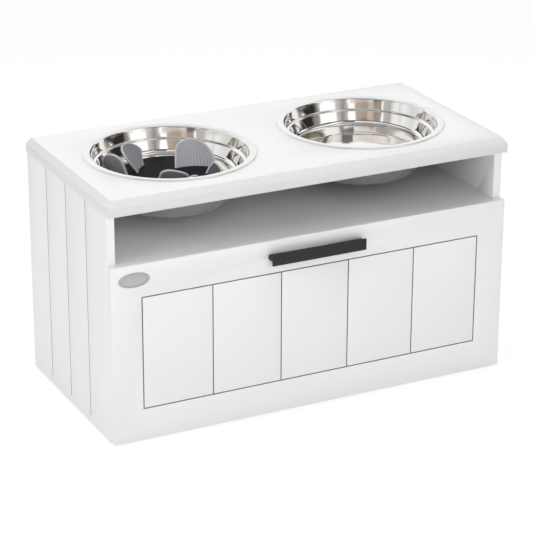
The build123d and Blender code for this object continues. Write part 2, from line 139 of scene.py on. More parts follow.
def mixed(made, part, first, second, blend_type="MIX"):
    """The first colour where part is 0, the second where it is 1."""
    settings = {"data_type": "RGBA", "blend_type": blend_type}
    return add(made, "ShaderNodeMix", settings, i0=part, i6=first, i7=second).outputs[2]


def object_coordinates(made, centre=(0.0, 0.0, 0.0)):
    """Places in metres, counted from centre."""
    place = add(made, "ShaderNodeTexCoord").outputs["Object"]
    return vector_maths(made, "SUBTRACT", place, centre)


def noise(made, where, per_metre, detail=2.0, roughness=0.5):
    """Cloudy noise from 0 to 1 with so many features in a metre."""
    settings = {"Scale": per_metre, "Detail": detail, "Roughness": roughness}
    return add(made, "ShaderNodeTexNoise", Vector=where, **settings).outputs["Fac"]


def spread(made, value, low, high):
    """Turns 0 to 1 into low to high."""
    return add(made, "ShaderNodeMapRange", Value=value, To_Min=low, To_Max=high).outputs["Result"]


def tint(made, value, dark, light):
    """Turns 0 to 1 into a run from one colour to the other."""
    return mixed(made, value, (*dark, 1.0), (*light, 1.0))


def relief(made, height, depth, strength=1.0):
    """Raises the surface by height (0 to 1) times depth in metres."""
    bump = add(made, "ShaderNodeBump", Height=height, Distance=depth, Strength=strength)
    link(made, bump.outputs["Normal"], shader_of(made).inputs["Normal"])


def white_paint(name, level):
    """Sprayed satin paint on fibreboard: a fine orange peel and the faintest mottling."""
    roughness = 0.42
    cool = np.array([0.996, 1.0, 1.009]) * level
    made = finish(name, tuple(cool), roughness)
    where = object_coordinates(made)
    shader = shader_of(made)
    mottle = noise(made, where, 9.0, 3.0)
    link(made, tint(made, mottle, tuple(cool * 0.985), tuple(cool * 1.012)), shader.inputs["Base Color"])
    peel = noise(made, where, 620.0, 2.0)
    link(made, spread(made, peel, roughness - 0.05, roughness + 0.07), shader.inputs["Roughness"])
    relief(made, peel, 0.00004, 0.5)
    return made


def groove_painted_shade(name, level):
    """The scored grooves, greyer than the faces: partly thin paint over the cut edge, partly painted
    shade in the recess.
    """
    made = finish(name, (level, level, level), 0.7)
    where = object_coordinates(made)
    fibres = noise(made, where, 1400.0, 3.0)
    greys = tint(made, fibres, (level * 0.85,) * 3, (level * 1.15,) * 3)
    link(made, greys, shader_of(made).inputs["Base Color"])
    relief(made, fibres, 0.00008, 0.6)
    return made


wave_depth = 0.4 * mm


def steel(name, centre, level, roughness, ring_depth, warmth=0.04):
    """Pressed stainless steel, buffed in circles round the bowl's axis. The rings are noise along the
    radius minus the height, so that they run down the wall and across the floor alike."""
    hue = np.array([1.0, 1 - 0.4 * warmth, 1 - warmth])
    made = finish(name, tuple(level * hue), roughness, metallic=1.0)
    where = object_coordinates(made, centre)
    flat = vector_maths(made, "MULTIPLY", where, (1.0, 1.0, 0.0))
    radius = add(made, "ShaderNodeVectorMath", {"operation": "LENGTH"}, i0=flat).outputs["Value"]
    height = add(made, "ShaderNodeSeparateXYZ", Vector=where).outputs["Z"]
    down_the_wall = maths(made, "SUBTRACT", radius, height)
    fine = {"W": down_the_wall, "Scale": 2600.0, "Detail": 3.0, "Roughness": 0.6}
    rings = add(made, "ShaderNodeTexNoise", {"noise_dimensions": "1D"}, **fine).outputs["Fac"]
    smudge = noise(made, where, 60.0, 4.0, 0.6)
    worn = maths(made, "MULTIPLY", rings, smudge)
    shader = shader_of(made)
    link(made, spread(made, worn, roughness * 0.7, roughness * 2.2), shader.inputs["Roughness"])
    colour = tint(made, smudge, tuple(level * 0.96 * hue), tuple(level * 1.03 * hue))
    link(made, colour, shader.inputs["Base Color"])
    # The pressing leaves slow waves in the sheet, under the buffing.
    slow = noise(made, where, 38.0, 1.0)
    waves = add(made, "ShaderNodeBump", Height=slow, Distance=wave_depth, Strength=1.0).outputs["Normal"]
    buffed = add(made, "ShaderNodeBump", Height=rings, Distance=ring_depth, Strength=0.6, Normal=waves)
    link(made, buffed.outputs["Normal"], shader.inputs["Normal"])
    return made


def soft_grey():
    """Soft moulded plastic with a fine matt grain: grey petals with painted shade on their faces and in
    their rib valleys, a pale painted highlight along their edges, and a base painted near-black as
    painted shade.
    """
    made = finish("insert_painted_shade", (0.30, 0.31, 0.335), 0.6, Specular_IOR_Level=0.1)
    where = object_coordinates(made)
    shader = shader_of(made)
    grain = noise(made, where, 1500.0, 2.0)
    cloud = noise(made, where, 45.0, 3.0)
    face = tint(made, cloud, (0.42, 0.43, 0.465), (0.49, 0.50, 0.535))
    # Painted shade: the attribute darkens the grey towards near-black.
    dark = add(made, "ShaderNodeAttribute", {"attribute_name": "painted_shade"}).outputs["Fac"]
    black_painted_shade = (0.007, 0.007, 0.008, 1.0)
    link(made, mixed(made, dark, face, black_painted_shade), shader.inputs["Base Color"])
    link(made, spread(made, grain, 0.52, 0.7), shader.inputs["Roughness"])
    relief(made, grain, 0.00006, 0.5)
    return made


def charcoal_coat():
    """Dark powder coat with its fine orange peel."""
    made = finish("charcoal_powder_coat", (0.02, 0.02, 0.021), 0.55, Specular_IOR_Level=0.3)
    where = object_coordinates(made)
    peel = noise(made, where, 1100.0, 3.0)
    greys = tint(made, peel, (0.016, 0.016, 0.017), (0.025, 0.025, 0.026))
    link(made, greys, shader_of(made).inputs["Base Color"])
    link(made, spread(made, peel, 0.48, 0.65), shader_of(made).inputs["Roughness"])
    relief(made, peel, 0.00006, 0.7)
    return made


def zinc_plate():
    """Bright zinc plating with a soft spangle."""
    made = finish("zinc_plate", (0.66, 0.67, 0.68), 0.32, metallic=1.0)
    where = object_coordinates(made)
    spangle = add(made, "ShaderNodeTexVoronoi", Vector=where, Scale=320.0).outputs["Color"]
    grey = add(made, "ShaderNodeRGBToBW", Color=spangle).outputs["Val"]
    silvers = tint(made, grey, (0.58, 0.59, 0.60), (0.72, 0.73, 0.74))
    link(made, silvers, shader_of(made).inputs["Base Color"])
    link(made, spread(made, grey, 0.24, 0.42), shader_of(made).inputs["Roughness"])
    return made


def coated_runner():
    """White epoxy on the roller runners."""
    made = finish("white_epoxy", (0.74, 0.74, 0.73), 0.3)
    where = object_coordinates(made)
    peel = noise(made, where, 500.0, 2.0)
    link(made, spread(made, peel, 0.24, 0.38), shader_of(made).inputs["Roughness"])
    whites = tint(made, peel, (0.72, 0.72, 0.71), (0.76, 0.76, 0.75))
    link(made, whites, shader_of(made).inputs["Base Color"])
    relief(made, peel, 0.00005, 0.5)
    return made


def nylon():
    """Natural nylon: milky and slightly warm."""
    made = finish("natural_nylon", (0.80, 0.79, 0.74), 0.45)
    cloud = noise(made, object_coordinates(made), 120.0, 2.0)
    creams = tint(made, cloud, (0.77, 0.76, 0.70), (0.83, 0.82, 0.78))
    link(made, creams, shader_of(made).inputs["Base Color"])
    link(made, spread(made, cloud, 0.38, 0.52), shader_of(made).inputs["Roughness"])
    return made


paint = white_paint("white_paint", 0.78)
# Painted shade: a darker copy of the white paint for the top board's bevel and edges.
edge_band_painted_shade = white_paint("board_edge_band_painted_shade", 0.67)
# Painted shade: the grooves' finishes are darkened to stand for the shade inside them, the front's more
# than the sides'.
front_groove = groove_painted_shade("front_groove", 0.17)
side_groove = groove_painted_shade("side_groove", 0.40)
grey = soft_grey()
charcoal = charcoal_coat()
zinc = zinc_plate()
epoxy = coated_runner()
white_nylon = nylon()


# ---- Pieces ----
def piece(name, mesh, body, slot, *materials):
    """Puts a mesh into the scene as a piece that rides on a body."""
    made = bpy.data.objects.new(name, mesh)
    bpy.context.scene.collection.objects.link(made)
    for material in materials:
        mesh.materials.append(material)
    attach(made, body)
    return made


def body_holding(node):
    """The name of the body that a node rides on."""
    parent = frame["nodes"][node].parent
    return next(body for body, empty in frame["bodies"].items() if parent is empty)


def softened(node, slot, material, width):
    """A copy of a node with its doubled points joined, its flat faces made whole, and every edge
    sharper than 25 degrees rounded over by the width."""
    mesh = bpy.data.meshes.new(f"{node}_finished")
    work = bmesh.new()
    work.from_mesh(frame["nodes"][node].data)
    bmesh.ops.remove_doubles(work, verts=work.verts, dist=0.001 * mm)
    bmesh.ops.dissolve_limit(work, angle_limit=radians(0.5), verts=work.verts, edges=work.edges)
    for face in work.faces:
        face.smooth = True
    work.to_mesh(mesh)
    work.free()
    mesh.materials.clear()
    made = piece(f"{node}_finished", mesh, body_holding(node), slot, material)
    rounding = made.modifiers.new("rounded_edges", "BEVEL")
    rounding.width = width
    rounding.segments = 2
    rounding.limit_method = "ANGLE"
    rounding.angle_limit = radians(25)
    rounding.harden_normals = True
    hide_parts(node)
    return made


def face_centres(mesh):
    """The middle of every face, one row each."""
    places = np.empty(len(mesh.polygons) * 3)
    mesh.polygons.foreach_get("center", places)
    return places.reshape(-1, 3)


def finish_faces(mesh, chosen):
    """Gives the chosen faces the mesh's second material."""
    mesh.polygons.foreach_set("material_index", chosen.astype(np.int32))


def shade_grooves(made, inside, shade):
    """Gives the faces whose centres are inside the grooves the groove's finish, with its painted shade.
    """
    made.data.materials.append(shade)
    finish_faces(made.data, inside(face_centres(made.data)))


def grid_mesh(name, points, close_u=False, close_v=False):
    """A quad mesh through an array of points[u, v]. A closed direction joins its last row to its
    first, so the corners of a quad are (u, v), (u + 1, v), (u + 1, v + 1) and (u, v + 1)."""
    nu, nv = points.shape[:2]
    u = np.arange(nu if close_u else nu - 1)
    v = np.arange(nv if close_v else nv - 1)
    a, b = np.meshgrid(u, v, indexing="ij")
    c, d = (a + 1) % nu, (b + 1) % nv
    quads = np.stack([a * nv + b, c * nv + b, c * nv + d, a * nv + d], axis=-1).reshape(-1, 4)
    mesh = bpy.data.meshes.new(name)
    mesh.from_pydata(points.reshape(-1, 3), [], quads)
    return mesh


def tidy_mesh(mesh, crease=35.0):
    """Joins doubled points, drops faces with no area, points the faces outwards, shades smooth."""
    work = bmesh.new()
    work.from_mesh(mesh)
    bmesh.ops.remove_doubles(work, verts=work.verts, dist=0.0005 * mm)
    bmesh.ops.dissolve_degenerate(work, edges=work.edges, dist=0.0005 * mm)
    bmesh.ops.recalc_face_normals(work, faces=work.faces)
    for face in work.faces:
        face.smooth = True
    for edge in work.edges:
        edge.smooth = len(edge.link_faces) != 2 or edge.calc_face_angle() < radians(crease)
    work.to_mesh(mesh)
    work.free()
    return mesh


def rounded_line(corners, steps=6):
    """A line through corners (r, z, radius) in millimetres, with each corner of some radius turned
    into an arc that touches both runs. Returns points in metres."""
    made = [corners[0][:2]]
    for before, here, after in zip(corners, corners[1:], corners[2:]):
        corner = np.array(here[:2])
        if not here[2]:
            made.append(corner)
            continue
        back = np.array(before[:2]) - corner
        ahead = np.array(after[:2]) - corner
        back /= np.linalg.norm(back)
        ahead /= np.linalg.norm(ahead)
        half = np.arccos(np.clip(back @ ahead, -1, 1)) / 2
        middle = (back + ahead) / np.linalg.norm(back + ahead)
        centre = corner + middle * here[2] / sin(half)
        start = corner + back * here[2] / tan(half) - centre
        turn = pi - 2 * half
        side = np.sign(start[1] * back[0] - start[0] * back[1])
        angles = side * np.linspace(0, turn, steps + 1)[:, None]
        square_to_start = np.array([-start[1], start[0]])
        made.extend(centre + start * np.cos(angles) + square_to_start * np.sin(angles))
    made.append(corners[-1][:2])
    return np.array(made) * mm


def thickened(line, thickness):
    """A closed band: the line, then the same line moved to its right by the thickness, backwards."""
    run = np.diff(line, axis=0)
    run /= np.linalg.norm(run, axis=1)[:, None]
    right = np.stack([run[:, 1], -run[:, 0]], axis=1)
    at_point = np.vstack([right[:1], right[:-1] + right[1:], right[-1:]])
    at_point /= np.linalg.norm(at_point, axis=1)[:, None]
    aside = np.vstack([right[:1], right])
    stretch = 1 / np.maximum((at_point * aside).sum(axis=1), 0.5)
    moved = line + at_point * (stretch * thickness)[:, None]
    moved[:, 0] = np.maximum(moved[:, 0], 0)
    return np.vstack([line, moved[::-1]])


def lathed(name, band, centre, facets=256):
    """A closed band of (radius, height) carried round the upright axis at centre."""
    turn = np.linspace(0, 2 * pi, facets, endpoint=False)
    radius, height = band[:, 0][:, None], band[:, 1][:, None]
    x, y = centre[0] + radius * np.cos(turn), centre[1] + radius * np.sin(turn)
    points = np.stack([x, y, centre[2] + height + 0 * turn], axis=-1)
    return tidy_mesh(grid_mesh(name, points, close_u=True, close_v=True), crease=50.0)


# ---- Boards ----
board_nodes = [
    "top_board", "left_side_panel", "right_side_panel", "back_panel", "shelf_board", "bottom_board",
    "drawer_front", "drawer_left_side", "drawer_right_side", "drawer_back", "drawer_bottom",
]
boards = {node: softened(node, "white_board", paint, edge_round) for node in board_nodes}


def in_front_grooves(places):
    """Behind the front face and ahead of the bottom of the grooves."""
    depth = places[:, 1] - front_low.y
    inner = np.abs(places[:, 0]) < front_high.x - groove_margin
    return (depth > skin) & (depth < groove_reach) & inner


def in_side_grooves(places):
    """Inside a side panel's outer face, and outside the bottom of its grooves."""
    depth = -side_low.x - np.abs(places[:, 0])
    inner = (places[:, 1] > side_low.y + groove_margin) & (places[:, 1] < side_high.y - groove_margin)
    return (depth > skin) & (depth < groove_reach) & inner


shade_grooves(boards["drawer_front"], in_front_grooves, front_groove)
shade_grooves(boards["left_side_panel"], in_side_grooves, side_groove)
shade_grooves(boards["right_side_panel"], in_side_grooves, side_groove)

# The top board's bevel and edges, between its two faces, are a little greyer than the faces: painted
# shade, a darker copy of the white paint.
top_mesh = boards["top_board"].data
top_mesh.materials.append(edge_band_painted_shade)
heights = face_centres(top_mesh)[:, 2]
finish_faces(top_mesh, (np.abs(heights - board_top) > skin) & (heights > board_low.z + skin))

# ---- Metal and plastic parts kept from the frame ----
zinc_nodes = [
    "cabinet_cam_locks", "cabinet_cam_bolts", "drawer_cam_locks", "drawer_cam_bolts",
    "top_brackets", "cabinet_roller_pins", "drawer_roller_pins", "handle_screws",
]
for node in zinc_nodes:
    softened(node, "zinc_steel", zinc, fine_round)
runner_places = ["left_cabinet", "right_cabinet", "left_drawer", "right_drawer"]
for place in runner_places:
    softened(f"{place}_runner", "coated_steel", epoxy, fine_round)
for place in runner_places:
    softened(f"{place}_roller", "nylon", white_nylon, fine_round)
softened("handle", "charcoal_metal", charcoal, handle_round)


# ---- Small fittings ----
def turned_to(points, place, outward):
    """Moves points made round the upright axis so that it runs outward from a place."""
    turn = np.array(Vector(outward).to_track_quat("Z", "Y").to_matrix())
    return points @ turn.T + np.array(place)


cross_width, cross_reach = 0.17, 0.55  # parts of a screw head's radius
cross_depth = 0.75  # part of its height


def screw_head(radius, height):
    """A dome of height sqrt(1 - u^2.4) over its radius u, with a cross sunk where the smaller of |x|
    and |y| is under the cross's width and the larger under its reach, closed by a flat underside."""
    u = np.concatenate([np.linspace(0, 0.9, 19), [0.95, 0.985, 1.0, 1.0, 0.0]])[:, None]
    turn = np.linspace(0, 2 * pi, 64, endpoint=False)[None, :]
    x, y = u * np.cos(turn), u * np.sin(turn)
    dome = np.sqrt(1 - u**2.4) + 0 * turn
    arm = np.clip((cross_width - np.minimum(abs(x), abs(y))) / 0.06, 0, 1)
    arm = arm * np.clip((cross_reach - np.maximum(abs(x), abs(y))) / 0.08, 0, 1)
    z = height * np.maximum(dome - cross_depth * arm, 0)
    z[-2:] = 0
    return np.stack([radius * x, radius * y, z], axis=-1)


def screws(name, places, outward, size, body):
    """Screw heads of a size (radius, height) that stand on a face at the places."""
    work = bmesh.new()
    for place in places:
        points = turned_to(screw_head(*size), place, outward)
        work.from_mesh(tidy_mesh(grid_mesh("screw_head", points, close_v=True)))
    mesh = bpy.data.meshes.new(name)
    work.to_mesh(mesh)
    work.free()
    return piece(name, mesh, body, "zinc_steel", zinc)


cabinet_body = body_holding("back_panel")
drawer_body = body_holding("drawer_front")

# Three screws from behind into the edge of each level board.
board_screw = (3.6 * mm, 0.9 * mm)
board_screw_places = (-180 * mm, 0, 180 * mm)
back_face = box_corners(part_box("back_panel"))[1].y
for node in ("bottom_board", "shelf_board"):
    low, high = box_corners(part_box(node))
    places = [(x, back_face, (low.z + high.z) / 2) for x in board_screw_places]
    screws(f"{node}_screws", places, (0, 1, 0), board_screw, cabinet_body)

# Three in each runner: the cabinet's face the drawer, and the drawer's face the cabinet.
runner_screw = (3.2 * mm, 1.1 * mm)
runner_screw_steps = (49 * mm, 125 * mm, 201 * mm)  # from the runner's front end
runner_sheet = 1.2 * mm
inner_wall = -side_low.x - panel_thickness
drawer_side_reach = -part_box("drawer_left_side")[0][0]
for side, sign in (("left", -1), ("right", 1)):
    low, high = box_corners(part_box(f"{side}_cabinet_runner"))
    height = (low.z + high.z) / 2
    face = sign * (inner_wall - runner_sheet)
    places = [(face, low.y + ahead, height) for ahead in runner_screw_steps]
    screws(f"{side}_cabinet_runner_screws", places, (-sign, 0, 0), runner_screw, cabinet_body)
    face = sign * (drawer_side_reach + runner_sheet)
    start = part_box(f"{side}_drawer_runner")[0][1]
    places = [(face, start + ahead, height) for ahead in runner_screw_steps]
    screws(f"{side}_drawer_runner_screws", places, (sign, 0, 0), runner_screw, drawer_body)

# One in each leg of the four angle brackets.
bracket_screw = (3.2 * mm, 1.2 * mm)
bracket_half, bracket_sheet, bracket_hole = 8 * mm, 1.5 * mm, 11 * mm
bracket_low, bracket_high = box_corners(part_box("top_brackets"))
bracket_rows = (bracket_low.y + bracket_half, bracket_high.y - bracket_half)
for name, sign in (("left_bracket_screws", -1), ("right_bracket_screws", 1)):
    face, hole = bracket_high.x - bracket_sheet, bracket_high.z - bracket_hole
    in_side = [(sign * face, y, hole) for y in bracket_rows]
    screws(f"{name}_in_side", in_side, (-sign, 0, 0), bracket_screw, cabinet_body)
    face, hole = bracket_high.z - bracket_sheet, bracket_high.x - bracket_hole
    in_top = [(sign * hole, y, face) for y in bracket_rows]
    screws(f"{name}_in_top", in_top, (0, 0, -1), bracket_screw, cabinet_body)

# ---- Badge plate ----
badge_place = (-266.3 * mm, front_low.y, 234.6 * mm)
badge_half_length, badge_half_height = 22.6 * mm, 10.4 * mm
# From the middle to the rim and back along the underside: the part of the way out, and the height in
# millimetres.
badge_profile = [
    (0, 0.7), (0.78, 0.7), (0.80, 0.3), (0.84, 0.3), (0.87, 1.0),
    (0.95, 1.0), (0.99, 0.7), (1.0, 0.3), (1.0, 0), (0, 0),
]


def plate_silver():
    """Silver plate with a fine brushing along its length."""
    made = finish("plate_silver", (0.5, 0.5, 0.51), 0.4, metallic=0.7)
    where = object_coordinates(made)
    lines = noise(made, vector_maths(made, "MULTIPLY", where, (60.0, 1800.0, 1800.0)), 1.0, 3.0)
    greys = tint(made, lines, (0.40, 0.40, 0.41), (0.58, 0.58, 0.59))
    link(made, greys, shader_of(made).inputs["Base Color"])
    link(made, spread(made, lines, 0.32, 0.5), shader_of(made).inputs["Roughness"])
    relief(made, lines, 0.00003, 0.5)
    return made


def badge_plate():
    """A blank oval plate, a flat field inside a raised border: the profile, carried round the oval
    whose half axes times (cos, sin) of the angle are its rim."""
    u, height = (np.array(column)[:, None] for column in zip(*badge_profile))
    turn = np.linspace(0, 2 * pi, 160, endpoint=False)[None, :]
    x, y = badge_half_length * u * np.cos(turn), badge_half_height * u * np.sin(turn)
    points = np.stack([x, y, mm * height + 0 * turn], axis=-1)
    points = turned_to(points, badge_place, (0, -1, 0))
    mesh = tidy_mesh(grid_mesh("badge_plate", points, close_v=True))
    return piece("badge_plate", mesh, drawer_body, "zinc_steel", plate_silver())


badge_plate()


# ---- Bowls ----
sheet_steel = 0.8 * mm
rim_start = 108.6 * mm  # the rim's finish begins at this radius
# Each pressing's line from the axis outwards: radius, height above the top board, and rounding, all in
# millimetres.
bowl_line = [
    (0, -32.7, 0),
    (54.5, -32.7, 3),
    (60.0, -33.5, 3),
    (94.5, -33.5, 8),
    (101.0, -15.3, 1.5),
    (104.6, -13.8, 2.0),
    (108.1, -0.5, 0.8),
    (108.7, 1.0, 1.0),
    (118.3, 2.1, 0.8),
    (118.5, 0.2, 0),
]
base_line = [
    (0, -64.0, 0),
    (67.8, -64.0, 1.5),
    (69.0, -65.2, 0.6),
    (78.0, -65.2, 4),
    (107.2, -22.0, 4),
    (109.2, -15.0, 2),
    (109.2, -1.8, 0),
]


def bowl_axis(box, height):
    """The middle of a box, seen from above, at a height."""
    low, high = box_corners(box)
    return Vector(((low.x + high.x) / 2, (low.y + high.y) / 2, height))


def feeding_bowl(side):
    """Two pressings joined under the rim: each line, made a sheet thick and carried round the axis."""
    centre = bowl_axis(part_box(f"{side}_bowl"), board_top)
    body = body_holding(f"{side}_bowl")
    polish = steel(f"{side}_bowl_polish", centre, level=0.82, roughness=0.05, ring_depth=0.002 * mm)
    # Painted shade: the base pressing's steel is a darker copy of the polish, for its place in the
    # niche's shade.
    satin = steel(f"{side}_bowl_satin", centre, 0.58, 0.28, 0.003 * mm, warmth=0.0)
    rim = steel(f"{side}_bowl_rim", centre, 0.94, 0.36, 0.002 * mm, warmth=-0.02)
    inside = lathed(f"{side}_bowl_pressing", thickened(rounded_line(bowl_line), sheet_steel), centre)
    inside = piece(f"{side}_bowl_pressing", inside, body, "polished_steel", polish, rim)
    places = face_centres(inside.data)
    finish_faces(inside.data, np.hypot(places[:, 0] - centre.x, places[:, 1] - centre.y) > rim_start)
    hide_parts(f"{side}_bowl")
    outside = lathed(f"{side}_bowl_base", thickened(rounded_line(base_line), sheet_steel), centre)
    outside = piece(f"{side}_bowl_base", outside, body, "polished_steel", satin)
    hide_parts(f"{side}_bowl_shell")


for side in ("left", "right"):
    feeding_bowl(side)

# ---- Slow-feeder insert ----
# The base's outline from the axis outwards and back: radius, height and rounding in millimetres.
base_outline = [(0, 0, 0), (71.5, 0, 0.8), (72.0, 1.3, 0), (71.5, 2.6, 0.8), (0, 2.6, 0)]
base_thickness = 2.6 * mm
petal_thickness = 3.2 * mm
cup_radius = 60.0 * mm  # each petal is a piece of a tube of this inner radius
# Root x, y from the bowl's axis, bearing of the hollow face, lean back, sideways slant, height, then the
# left and right half's root width, greatest width and its height above the root. Last, its face's
# painted shade, from pale grey to black.
petals = [
    (38.5, 12.5, -107.0, 37.0, -1.0, 40.3, (24.0, 22.5, 20.5), (30.5, 32.0, 1.0), 0.30),
    (-28.0, 37.0, -42.0, 36.0, 5.0, 40.0, (21.0, 25.5, 18.0), (14.0, 27.0, 15.0), 0.45),
    (-66.0, 23.0, 34.0, 12.0, -17.5, 33.5, (15.5, 16.5, 16.5), (7.5, 20.0, 13.5), 0.55),
    (46.5, -27.0, -131.0, 19.5, -17.5, 17.5, (5.5, 5.5, 1.0), (18.0, 18.5, 2.5), 0.75),
    (-10.0, -29.0, 62.0, 14.0, 9.0, 18.0, (17.0, 22.0, 8.0), (19.0, 18.0, 5.5), 0.6),
    (9.0, -49.5, 105.0, 12.0, 0.0, 12.5, (11.5, 13.0, 3.5), (11.5, 13.0, 3.5), 0.6),
]
root_depth = 9.0 * mm  # the petals run this far below the base's upper face, and are cut off inside it
lowest_point = 0.4 * mm  # above the base's underside
rib_pitch = 4.2 * mm
rib_depth = 0.4 * mm
# How much the rib valleys darken: painted shade.
valley_painted_shade = 0.42
plain_edge = 1.8 * mm  # no ribs and no painted shade along the petal's edge: it stays pale, a painted highlight
edge_fade = 1.0 * mm  # over this width they come in
mesh_step = 0.55 * mm


def petal_half_width(height, top, half):
    """Straight from the root to the widest place, then a quarter ellipse to the tip."""
    root, widest, belly = (size * mm for size in half)
    rising = root + (widest - root) * np.clip(height / belly, 0, 1)
    closing = widest * np.sqrt(np.clip(1 - ((height - belly) / (top - belly)) ** 2, 0, 1))
    return np.where(height < belly, rising, closing)


def petal_rows(top):
    """Heights from below the root to the tip, closer together towards the tip: 1 - (1 - t)^1.6."""
    count = int((top + root_depth) / mesh_step)
    return -root_depth + (top + root_depth) * (1 - (1 - np.linspace(0, 1, count)) ** 1.6)


def petal_columns(widest):
    """Places across from -1 to 1: even steps, and near both edges the sine of even angles."""
    count = int(2 * widest / mesh_step)
    even = np.linspace(-1, 1, count)
    closer = np.sign(even) * (0.9 + 0.1 * np.sin((np.abs(even) - 0.9) * 5 * pi))
    return np.where(np.abs(even) > 0.9, closer, even)


def petal_surface(x, y, facing, lean, slant, height, left, right, face_painted_shade):
    """A tongue of the tube of cup_radius. Its two faces close on each other in a half round: with t
    half the wall's thickness, each is sqrt(t^2 - (t - e)^2) from the middle at the distance e from the
    edge. Both carry fine valleys that follow the outline, a raised cosine of the place across to the
    fourth power, shallower towards the left. Returns the points and their painted shade: the face's own,
    deeper in the valleys, and none along the edge, which stays pale as a painted highlight."""
    top = height * mm
    up = petal_rows(top)[:, None]
    widest = max(left[1], right[1]) * mm
    across = petal_columns(widest)[None, :]
    width = np.where(across < 0, petal_half_width(up, top, left), petal_half_width(up, top, right))
    wide = across * width
    slope = np.gradient(width[:, 0], up[:, 0])[:, None] * (across < 0)
    slope = slope + np.gradient(width[:, -1], up[:, 0])[:, None] * (across >= 0)
    from_edge = np.clip((width - np.abs(wide)) / np.sqrt(1 + slope**2), 0, None)
    half = petal_thickness / 2
    closing = np.sqrt(np.clip(half**2 - np.clip(half - from_edge, 0, None) ** 2, 0, None))
    inner = np.clip((from_edge - plain_edge) / edge_fade, 0, 1)
    valley = (0.5 + 0.5 * np.cos(2 * pi * across * widest / rib_pitch)) ** 4
    valley = valley * np.clip(0.4 + 0.8 * across, 0.1, 0.9)
    cut = rib_depth * inner * valley
    middle = cup_radius - np.sqrt(cup_radius**2 - wide**2) - half
    high = up + 0 * wide
    hollow_face = np.stack([wide, high, middle + closing - cut], axis=-1)
    round_face = np.stack([wide, high, middle - closing + cut], axis=-1)
    shape = (len(up), 2 * across.size, 3)
    points = np.concatenate([hollow_face, round_face[:, ::-1]], axis=1).reshape(-1, 3)
    tilt = Euler((-radians(lean), 0, 0)).to_matrix() @ Euler((0, 0, radians(slant))).to_matrix()
    along = Vector((-sin(radians(facing)), cos(radians(facing)), 0))
    level = Vector((cos(radians(facing)), sin(radians(facing)), 0))
    stand = np.array([along, (0, 0, 1), level]).T
    points = points @ np.array(tilt).T @ stand.T + np.array([x * mm, y * mm, base_thickness])
    points[:, 2] = np.maximum(points[:, 2], lowest_point)
    # Painted shade: each petal's own face shade, deeper in the rib valleys, and none near the edge.
    shade = inner * (face_painted_shade + valley_painted_shade * valley * (1 - face_painted_shade))
    return points.reshape(shape), np.concatenate([shade, shade[:, ::-1]], axis=1)


def slow_feeder():
    """The petals, closed where they are cut off inside the base, and the base: its outline carried
    round the bowl's axis, and painted near-black all over as painted shade."""
    middle = bowl_axis(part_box("left_bowl"), box_corners(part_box("slow_feeder"))[0].z)
    work = bmesh.new()
    for numbers in petals:
        points, painted_shade = petal_surface(*numbers)
        petal = grid_mesh("petal", points + np.array(middle), close_v=True)
        petal.attributes.new("painted_shade", "FLOAT", "POINT").data.foreach_set("value", painted_shade.ravel())
        work.from_mesh(tidy_mesh(petal))
    bmesh.ops.holes_fill(work, edges=[edge for edge in work.edges if edge.is_boundary], sides=0)
    base = lathed("insert_base", rounded_line(base_outline), middle, 128)
    # Painted shade: the whole base is near-black, a dark sheet standing for the shade among the petals.
    black = np.ones(len(base.vertices))
    base.attributes.new("painted_shade", "FLOAT", "POINT").data.foreach_set("value", black)
    work.from_mesh(base)
    mesh = bpy.data.meshes.new("slow_feeder_insert")
    work.to_mesh(mesh)
    work.free()
    made = piece("slow_feeder_insert", mesh, body_holding("slow_feeder"), "grey_silicone", grey)
    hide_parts("slow_feeder")


slow_feeder()


# ---- Stage, light and camera ----
floor_reach = 12.0
floor_drop = 0.2 * mm  # below the cabinet's feet
floor_white = 0.78  # how much of the floor's colour is a plain white glow, where it is seen
floor_glow = 1.06


def studio_floor():
    """A pale floor. Seen by the camera or in a reflection it is nearly white, and keeps the shadow."""
    square = np.array([(-1, -1), (1, -1), (1, 1), (-1, 1)]) * floor_reach
    mesh = bpy.data.meshes.new("studio_floor")
    mesh.from_pydata(np.column_stack([square, np.full(4, -floor_drop)]), [], [(0, 1, 2, 3)])
    made = bpy.data.objects.new("studio_floor", mesh)
    bpy.context.scene.collection.objects.link(made)
    pale = bpy.data.materials.new("pale_floor")
    pale.use_nodes = True
    tree = pale.node_tree
    tree.nodes.remove(tree.nodes["Principled BSDF"])
    matt = add(pale, "ShaderNodeBsdfDiffuse", Color=(0.9, 0.9, 0.9, 1.0))
    glow = add(pale, "ShaderNodeEmission", Color=(1.0, 1.0, 1.0, 1.0), Strength=floor_glow)
    path = add(pale, "ShaderNodeLightPath").outputs
    seen = maths(pale, "MAXIMUM", path["Is Camera Ray"], path["Is Glossy Ray"])
    part = maths(pale, "MULTIPLY", seen, floor_white)
    both = add(pale, "ShaderNodeMixShader", Fac=part, i1=matt.outputs[0], i2=glow.outputs[0])
    link(pale, both.outputs[0], tree.nodes["Material Output"].inputs["Surface"])
    mesh.materials.append(pale)


def ramp(world, value, stops):
    """A run of grey or tinted stops over 0 to 1."""
    made = add(world, "ShaderNodeValToRGB", Fac=value)
    line = made.color_ramp
    line.elements.remove(line.elements[1])
    for number, (place, colour) in enumerate(stops):
        stop = line.elements[0] if number == 0 else line.elements.new(place)
        stop.position = place
        stop.color = (*colour, 1.0)
    return made.outputs["Color"]


def warm(level, warmth=0.0):
    """A grey that loses some blue, as light from a wooden or papered wall does."""
    return (level, level * (1 - 0.5 * warmth), level * (1 - warmth))


